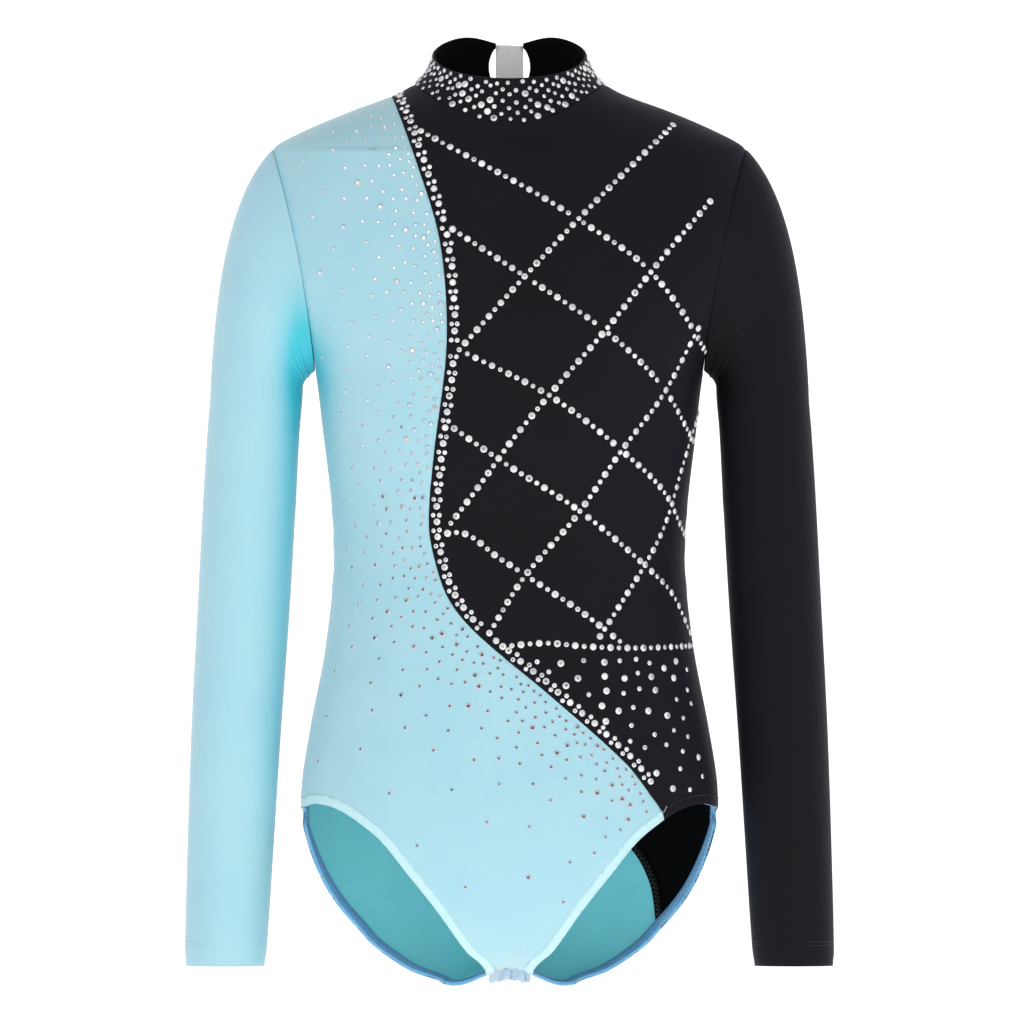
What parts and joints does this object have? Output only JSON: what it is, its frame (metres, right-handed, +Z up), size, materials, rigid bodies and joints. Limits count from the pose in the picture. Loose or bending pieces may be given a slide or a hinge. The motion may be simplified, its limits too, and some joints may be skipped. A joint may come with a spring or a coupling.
{
  "type": "gymnastics leotard",
  "caption": "Long-sleeved child's gymnastics leotard with a stand-up collar hooked at the back, a wavy two-colour seam, and elastic leg openings.",
  "frame": {"origin": "middle of the neck opening, level with the body's upper neckline at the front of the neck, where the garment hangs from the wearer's shoulders", "axes": "+Z up, the front faces -Y, +X is the wearer's left (the black side)"},
  "size_m": [0.3884, 0.167, 0.569],
  "materials": {
    "aqua_knit": "smooth stretch knit with a soft sheen",
    "black_knit": "smooth stretch knit with a soft sheen",
    "lining_knit": "plain light knit",
    "aqua_thread": "textured thread",
    "black_thread": "textured thread",
    "blue_elastic": "covered elastic",
    "white_tape": "woven tape",
    "steel_wire": "drawn wire"
  },
  "bodies": {
    "trunk": {"front_panel_aqua": "aqua_knit", "front_panel_black": "black_knit", "back_panel_aqua": "aqua_knit", "back_panel_black": "black_knit", "collar": "black_knit", "crotch_lining": "lining_knit", "armhole_seam_right": "aqua_thread", "shoulder_seam_right": "aqua_thread", "side_seam_right": "aqua_thread", "leg_elastic_right": "blue_elastic", "armhole_seam_left": "black_thread", "shoulder_seam_left": "black_thread", "side_seam_left": "black_thread", "leg_elastic_left": "blue_elastic", "wave_seam_front": "black_thread", "wave_seam_back": "black_thread", "neck_seam": "black_thread", "keyhole_binding": "black_thread", "crotch_seam": "aqua_thread", "eye_tape": "white_tape", "eye_upper": "steel_wire", "eye_lower": "steel_wire"},
    "right_sleeve": {"sleeve_right": "aqua_knit", "sleeve_seam_right": "aqua_thread", "cuff_stitching_right": "aqua_thread"},
    "left_sleeve": {"sleeve_left": "black_knit", "sleeve_seam_left": "black_thread", "cuff_stitching_left": "black_thread"},
    "hook_side": {"hook_tape": "white_tape", "hook_upper": "steel_wire", "hook_lower": "steel_wire"}
  },
  "joints": [
    {"name": "raise_right_sleeve", "type": "hinge", "parent": "trunk", "child": "right_sleeve", "pos_m": [-0.142, 0, -0.024], "axis": [0, 1, 0], "range_deg": [0, 75]},
    {"name": "raise_left_sleeve", "type": "hinge", "parent": "trunk", "child": "left_sleeve", "pos_m": [0.142, 0, -0.024], "axis": [0, -1, 0], "range_deg": [0, 75]},
    {"name": "unhook", "type": "slide", "parent": "trunk", "child": "hook_side", "axis": [1, 0, 0], "range_m": [0, 0.003], "stiffness_N_per_m": 20, "springref_m": -0.001}
  ]
}
